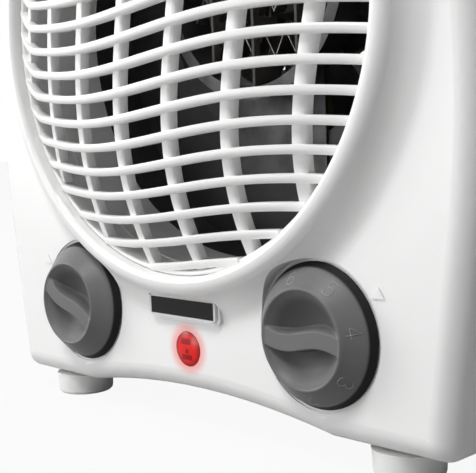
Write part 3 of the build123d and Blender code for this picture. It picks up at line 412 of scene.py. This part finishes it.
def make_knob(name, node, body, x, turn):
    """One knob: a fine polar net over its face, its side and its flat underside."""
    net = bmesh.new()
    painted_shade_and_gloss = net.verts.layers.float.new("painted_shade_and_gloss")
    turns = 240
    face_rings = [0.2 * i for i in range(1, 94)] + [18.85, 19.15, 19.4]
    under_rings = [(knob_r, 7.55), (19.35, 7.69), (18.2, 7.69), (17.0, 7.65), (17.0, 5.95)]
    centre = net.verts.new((x * mm, (collar + knob_depth(0, 0)) * mm, knob_z * mm))
    rings = []
    for r in face_rings:
        ring = []
        for i in range(turns):
            a = 2 * pi * i / turns
            px, pz = r * cos(a), r * sin(a)
            depth = knob_depth(px, pz)
            dx = px * cos(turn) - pz * sin(turn)
            dz = px * sin(turn) + pz * cos(turn)
            ring.append(net.verts.new(((x + dx) * mm, (collar + depth) * mm, (knob_z + dz) * mm)))
            # Painted shade: darker the deeper the bowl lies, and black from the side wall round to the
            # underside.
            if r < 13:
                ring[-1][painted_shade_and_gloss] = bowl_painted_shade * clamped((depth - 1.2) / 1.6)
            else:
                ring[-1][painted_shade_and_gloss] = clamped((r - 18.0) / 0.4)
        rings.append(ring)
    for r, depth in under_rings:
        ring = []
        for i in range(turns):
            a = 2 * pi * i / turns + turn
            px, pz = x + r * cos(a), knob_z + r * sin(a)
            ring.append(net.verts.new((px * mm, (collar + depth) * mm, pz * mm)))
            ring[-1][painted_shade_and_gloss] = 1
        rings.append(ring)
    for i in range(turns):
        net.faces.new((centre, rings[0][i], rings[0][(i + 1) % turns]))
    for before, after in zip(rings, rings[1:]):
        for i in range(turns):
            j = (i + 1) % turns
            net.faces.new((before[i], after[i], after[j], before[j]))
    net.faces.new(rings[-1])
    knob = settle(net, name, knob_grey, body)
    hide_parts(node)


make_knob("left_knob", "mode_knob", "mode_control", -knob_x, radians(-28))
make_knob("right_knob", "thermostat_knob", "thermostat_control", knob_x, 0)

# The settings 1 to 6 stand on the right knob's band as fine round lines, tops outward, and
# catch the light along their edges. They are moulded with the knob.
numeral_grey = moulded("numeral_grey", (0.3, 0.3, 0.3), (0.24, 0.24, 0.24), 0.4, 0.2)
numeral_r, numeral_depth = 15.9, 2.85
numeral_height, numeral_width, numeral_line = 4.1, 4.5, 0.15
band_out, band_back = 0.715, 0.73
strokes = {
    "1": [(-0.2, 0.78), (0, 1), (0, 0)],
    "2": [(-0.28, 0.74), (-0.2, 0.93), (0, 1), (0.2, 0.93), (0.27, 0.72), (0.18, 0.48), (-0.3, 0), (0.3, 0)],
    "3": [(-0.26, 0.9), (0, 1), (0.2, 0.93), (0.26, 0.76), (0.18, 0.58), (-0.04, 0.52), (0.2, 0.46),
          (0.29, 0.25), (0.2, 0.06), (0, 0), (-0.2, 0.04), (-0.3, 0.18)],
    "4": [(0.12, 0), (0.12, 1), (-0.3, 0.3), (0.32, 0.3)],
    "5": [(0.26, 1), (-0.2, 1), (-0.24, 0.54), (0, 0.62), (0.2, 0.55), (0.29, 0.32), (0.2, 0.08),
          (0, 0), (-0.2, 0.04), (-0.29, 0.16)],
    "6": [(0.2, 0.92), (0, 1), (-0.2, 0.82), (-0.29, 0.4), (-0.22, 0.1), (0, 0), (0.22, 0.08),
          (0.29, 0.3), (0.2, 0.52), (0, 0.6), (-0.2, 0.52), (-0.28, 0.36)],
}
numerals = bpy.data.curves.new("knob_numerals", "CURVE")
numerals.dimensions = "3D"
numerals.bevel_depth = numeral_line * mm
numerals.bevel_resolution = 2
for digit, angle in (("6", 106), ("5", 58), ("4", 12), ("3", -38), ("2", -85), ("1", -130)):
    line = numerals.splines.new("POLY")
    line.points.add(len(strokes[digit]) - 1)
    for point, (u, v) in zip(line.points, strokes[digit]):
        out = (v - 0.5) * numeral_height
        r = numeral_r + band_out * out
        a = radians(angle) - u * numeral_width / r
        y = collar + numeral_depth + band_back * out
        point.co = ((knob_x + r * cos(a)) * mm, y * mm, (knob_z + r * sin(a)) * mm, 1)
numerals.materials.append(numeral_grey)
numeral_piece = bpy.data.objects.new("knob_numerals", numerals)
bpy.context.scene.collection.objects.link(numeral_piece)
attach(numeral_piece, "thermostat_control")

# The pilot lens is clear red plastic over a neon lamp, pushed in from inside. The lamp's dark
# electrodes show through it, and its edge is darker where the plastic is thicker.
pilot = bpy.data.materials.new("pilot_red")
pilot.use_nodes = True
nodes, links = pilot.node_tree.nodes, pilot.node_tree.links
red = nodes["Principled BSDF"]
red.inputs["Roughness"].default_value = 0.25
red.inputs["Specular IOR Level"].default_value = 0.25
red.inputs["Emission Strength"].default_value = 1.0
red.inputs["Base Color"].default_value = (0.25, 0.01, 0.01, 1)
place = nodes.new("ShaderNodeTexCoord")
parts = nodes.new("ShaderNodeSeparateXYZ")
links.new(place.outputs["Object"], parts.inputs[0])
blur = 0.15


def within(nodes, links, source, low, high):
    """1 between two places along one direction, 0 elsewhere, with soft ends."""
    rise = nodes.new("ShaderNodeMapRange")
    rise.inputs["From Min"].default_value = low - blur * mm
    rise.inputs["From Max"].default_value = low + blur * mm
    drop = nodes.new("ShaderNodeMapRange")
    drop.inputs["From Min"].default_value = high + blur * mm
    drop.inputs["From Max"].default_value = high - blur * mm
    both = nodes.new("ShaderNodeMath")
    both.operation = "MULTIPLY"
    links.new(source, rise.inputs["Value"])
    links.new(source, drop.inputs["Value"])
    links.new(rise.outputs["Result"], both.inputs[0])
    links.new(drop.outputs["Result"], both.inputs[1])
    return both.outputs[0]


dark = None
for x0, x1, z0, z1 in ((-2.6, 1.9, 1.5, 3.2), (-2.2, 2.2, -3.2, -1.6), (-0.3, 0.9, -1.2, 0.1)):
    wide = within(nodes, links, parts.outputs["X"], x0 * mm, x1 * mm)
    tall = within(nodes, links, parts.outputs["Z"], lens_middle.z + z0 * mm, lens_middle.z + z1 * mm)
    patch = nodes.new("ShaderNodeMath")
    patch.operation = "MULTIPLY"
    links.new(wide, patch.inputs[0])
    links.new(tall, patch.inputs[1])
    if dark is None:
        dark = patch.outputs[0]
    else:
        joined = nodes.new("ShaderNodeMath")
        joined.operation = "MAXIMUM"
        links.new(dark, joined.inputs[0])
        links.new(patch.outputs[0], joined.inputs[1])
        dark = joined.outputs[0]
lit = nodes.new("ShaderNodeMix")
lit.data_type = "RGBA"
lit.inputs[6].default_value = (0.46, 0.008, 0.006, 1)
lit.inputs[7].default_value = (0.05, 0.001, 0.002, 1)
ring = nodes.new("ShaderNodeVectorMath")
ring.operation = "DISTANCE"
ring.inputs[1].default_value = (lens_middle.x, lens_low.y, lens_middle.z)
edge_start, edge_end = 3.6, 5.0
edge = nodes.new("ShaderNodeMapRange")
edge.inputs["From Min"].default_value = edge_start * mm
edge.inputs["From Max"].default_value = edge_end * mm
rimmed = nodes.new("ShaderNodeMix")
rimmed.data_type = "RGBA"
rimmed.inputs[7].default_value = (0.09, 0.003, 0.003, 1)
links.new(dark, lit.inputs[0])
links.new(place.outputs["Object"], ring.inputs[0])
links.new(ring.outputs["Value"], edge.inputs["Value"])
links.new(edge.outputs["Result"], rimmed.inputs[0])
links.new(lit.outputs[2], rimmed.inputs[6])
links.new(rimmed.outputs[2], red.inputs["Emission Color"])
dress(pilot, "pilot_red", "pilot_lens")

# The lamp behind the lens and the thermal fuse in the element are small glass bulbs. Their
# glass is thin and warm in tone, and sealed round their electrodes.
glass = bpy.data.materials.new("lamp_glass")
glass.use_nodes = True
bulb = glass.node_tree.nodes["Principled BSDF"]
bulb.inputs["Base Color"].default_value = (0.9, 0.45, 0.35, 1)
bulb.inputs["Roughness"].default_value = 0.05
bulb.inputs["Transmission Weight"].default_value = 0.9
dress(glass, "lamp_glass", "pilot_lamp", "thermal_fuse")

# The plate under the outlet is gloss black and plain, with a thin bright rim. It is glued
# to its seat on the casing.
gloss_black = moulded("badge_black", (0.008, 0.008, 0.008), (0.012, 0.012, 0.012), 0.16, 0.05)
nodes, links = gloss_black.node_tree.nodes, gloss_black.node_tree.links
end_rim, long_rim, rim_edge = 0.9, 0.8, 0.2
badge_low, badge_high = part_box("badge_plate")
badge_middle = (badge_low + badge_high) / 2
badge_half = badge_high - badge_middle
place = nodes.new("ShaderNodeTexCoord")
centred = nodes.new("ShaderNodeVectorMath")
centred.operation = "SUBTRACT"
centred.inputs[1].default_value = badge_middle
mirror = nodes.new("ShaderNodeVectorMath")
mirror.operation = "ABSOLUTE"
parts = nodes.new("ShaderNodeSeparateXYZ")
links.new(place.outputs["Object"], centred.inputs[0])
links.new(centred.outputs[0], mirror.inputs[0])
links.new(mirror.outputs[0], parts.inputs[0])
across = nodes.new("ShaderNodeMapRange")
across.inputs["From Min"].default_value = badge_half.x - end_rim * mm
across.inputs["From Max"].default_value = badge_half.x - (end_rim - rim_edge) * mm
upward = nodes.new("ShaderNodeMapRange")
upward.inputs["From Min"].default_value = badge_half.z - long_rim * mm
upward.inputs["From Max"].default_value = badge_half.z - (long_rim - rim_edge) * mm
rim = nodes.new("ShaderNodeMath")
rim.operation = "MAXIMUM"
plate = nodes.new("ShaderNodeMix")
plate.data_type = "RGBA"
plate.inputs[7].default_value = (0.7, 0.7, 0.7, 1)
links.new(parts.outputs["X"], across.inputs["Value"])
links.new(parts.outputs["Z"], upward.inputs["Value"])
links.new(across.outputs["Result"], rim.inputs[0])
links.new(upward.outputs["Result"], rim.inputs[1])
links.new(rim.outputs[0], plate.inputs[0])
links.new(nodes["tone"].outputs[2], plate.inputs[6])
links.new(plate.outputs[2], nodes["Principled BSDF"].inputs["Base Color"])
nodes["Principled BSDF"].inputs["Specular IOR Level"].default_value = 0.3
dress(gloss_black, "badge_black", "badge_plate")

# The feet are grey-white pads pressed into the floor of the casing: a stem, a shoulder that
# tapers towards the floor, and a rounded lower edge.
pad = moulded("foot_pad", (0.9, 0.9, 0.89), (0.85, 0.85, 0.84), 0.6, 0.6)
pad_outline = [(2.6, 11), (2.6, 7), (9.9, 7), (9.7, 6.2), (9.5, 1.3), (9.3, 0.6), (8.8, 0.15), (8.2, 0)]
pad_turns = 96
for name in ("foot_front_left", "foot_front_right", "foot_rear_left", "foot_rear_right"):
    low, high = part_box(name)
    middle = (low + high) / 2
    foot = bmesh.new()
    rings = []
    for r, z in pad_outline:
        ring = []
        for i in range(pad_turns):
            a = 2 * pi * i / pad_turns
            ring.append(foot.verts.new((middle.x + r * cos(a) * mm, middle.y + r * sin(a) * mm, z * mm)))
        rings.append(ring)
    for before, after in zip(rings, rings[1:]):
        for i in range(pad_turns):
            j = (i + 1) % pad_turns
            foot.faces.new((before[i], before[j], after[j], after[i]))
    foot.faces.new(rings[0])
    foot.faces.new(rings[-1])
    piece = settle(foot, name + "_pad", pad, "housing")
    crease = piece.modifiers.new("edges", "EDGE_SPLIT")
    crease.split_angle = radians(50)
    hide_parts(name)

# The air duct behind the grille is a dark moulding that stands the heat. It is screwed to
# bosses in the front casing.
duct = moulded("duct_plastic", (0.045, 0.045, 0.047), (0.032, 0.032, 0.033), 0.42, 0.5)
dress(duct, "duct_plastic", "air_duct")

# The fan, the rotary switch, and the inlet's gland and clamp are black mouldings with a
# satin skin. The fan is clipped on the motor's shaft; screws hold the switch and the clamp.
black = moulded("dark_plastic", (0.03, 0.03, 0.03), (0.022, 0.022, 0.022), 0.4, 0.4)
dress(black, "dark_plastic", "mode_switch", "fan", "cord_gland", "cord_clamp")

# The element's frame, the straps, the shaft and the small spring parts are zinc-plated steel,
# darkened by heat. Its drawing lines run one way, and the plating is dull here and there.
worked_metal = bpy.data.node_groups.new("worked_metal", "ShaderNodeTree")
sockets = worked_metal.interface
sockets.new_socket("Normal", in_out="OUTPUT", socket_type="NodeSocketVector")
sockets.new_socket("Patches", in_out="OUTPUT", socket_type="NodeSocketFloat")
nodes, links = worked_metal.nodes, worked_metal.links
given = nodes.new("NodeGroupOutput")
place = nodes.new("ShaderNodeTexCoord")
drawn = nodes.new("ShaderNodeMapping")
drawn.inputs["Scale"].default_value = (3000, 3000, 120)
lines = nodes.new("ShaderNodeTexNoise")
lines.inputs["Scale"].default_value = 1
patches = nodes.new("ShaderNodeTexNoise")
patches.inputs["Scale"].default_value = 160
patches.inputs["Detail"].default_value = 5
bump = nodes.new("ShaderNodeBump")
bump.inputs["Strength"].default_value = 0.25
bump.inputs["Distance"].default_value = 0.00005
links.new(place.outputs["Object"], drawn.inputs["Vector"])
links.new(drawn.outputs["Vector"], lines.inputs["Vector"])
links.new(place.outputs["Object"], patches.inputs["Vector"])
links.new(lines.outputs["Fac"], bump.inputs["Height"])
links.new(bump.outputs["Normal"], given.inputs["Normal"])
links.new(patches.outputs["Fac"], given.inputs["Patches"])


def metal(name, bright, dull, low_gloss, high_gloss):
    """Plain metal: bright and dull colour of its patches, and the roughness of each."""
    material = bpy.data.materials.new(name)
    material.use_nodes = True
    nodes, links = material.node_tree.nodes, material.node_tree.links
    body = nodes["Principled BSDF"]
    body.inputs["Metallic"].default_value = 1
    work = nodes.new("ShaderNodeGroup")
    work.node_tree = worked_metal
    tone = nodes.new("ShaderNodeMix")
    tone.data_type = "RGBA"
    tone.inputs[6].default_value = (*bright, 1)
    tone.inputs[7].default_value = (*dull, 1)
    gloss = nodes.new("ShaderNodeMapRange")
    gloss.inputs["From Min"].default_value = 0.3
    gloss.inputs["From Max"].default_value = 0.7
    gloss.inputs["To Min"].default_value = low_gloss
    gloss.inputs["To Max"].default_value = high_gloss
    links.new(work.outputs["Patches"], tone.inputs[0])
    links.new(work.outputs["Patches"], gloss.inputs["Value"])
    links.new(tone.outputs[2], body.inputs["Base Color"])
    links.new(gloss.outputs["Result"], body.inputs["Roughness"])
    links.new(work.outputs["Normal"], body.inputs["Normal"])
    return material


plated = metal("plated_steel", (0.13, 0.13, 0.13), (0.08, 0.08, 0.08), 0.35, 0.6)
dress(
    plated, "steel", "element_frame", "thermostat_plate", "bearing_bracket_front", "bearing_bracket_rear",
    "motor_shaft", "fan_clip", "bimetal_blade",
)

# The mica boards carry the ribbons: pressed flakes, brown and dull from the heat. They are
# slotted into the element's frame.
mica = moulded("mica", (0.12, 0.11, 0.095), (0.08, 0.074, 0.062), 0.5, 0.8)
dress(mica, "mica", "mica_board_left", "mica_board_centre", "mica_board_right")

# The heating ribbons are resistance strip folded to and fro, with a grey skin of oxide.
# They hang in the slots of the boards.
wire = metal("heating_wire", (0.45, 0.43, 0.4), (0.22, 0.2, 0.18), 0.25, 0.5)
dress(wire, "heating_wire", "heating_ribbon_lower", "heating_ribbon_upper")

# The screws are zinc-plated too, brighter than the frame because they stay cool. They hold
# casings, duct, motor, controls, clamp and terminals.
screw_plated = metal("screw_steel", (0.6, 0.6, 0.56), (0.45, 0.44, 0.4), 0.25, 0.45)
dress(
    screw_plated, "screw_steel", "motor_screws", "duct_screws", "shell_screws", "control_screws",
    "clamp_screws", "terminal_screws",
)

# The motor's stator and rotor are stacks of dark electrical steel. Its coil is wound on a
# bobbin and taped yellow, browned by dust and heat.
laminated = metal("laminations", (0.3, 0.3, 0.31), (0.2, 0.2, 0.21), 0.4, 0.6)
dress(laminated, "laminations", "motor_stator", "motor_rotor")
tape = moulded("coil_tape", (0.16, 0.13, 0.05), (0.11, 0.09, 0.035), 0.35, 0.5)
dress(tape, "coil_tape", "motor_coil")

# Spindles, bushes and terminals are turned or stamped brass. The terminals are riveted to
# the switch and the thermostat.
brass = metal("brass", (0.72, 0.56, 0.28), (0.55, 0.42, 0.2), 0.25, 0.45)
dress(
    brass, "spindle_brass", "mode_spindle", "thermostat_spindle", "motor_bearing_front", "motor_bearing_rear",
    "switch_terminals", "thermostat_terminals",
)

# The thermostat's block, the cut-out, the terminal block and the coil's bobbin are pressed
# from off-white ceramic and heat-proof plastic, and fixed to the parts they serve.
ceramic = moulded("ceramic", (0.8, 0.78, 0.72), (0.72, 0.7, 0.63), 0.55, 0.7)
dress(ceramic, "ceramic", "thermostat_block", "thermal_cutout", "terminal_block", "coil_bobbin")
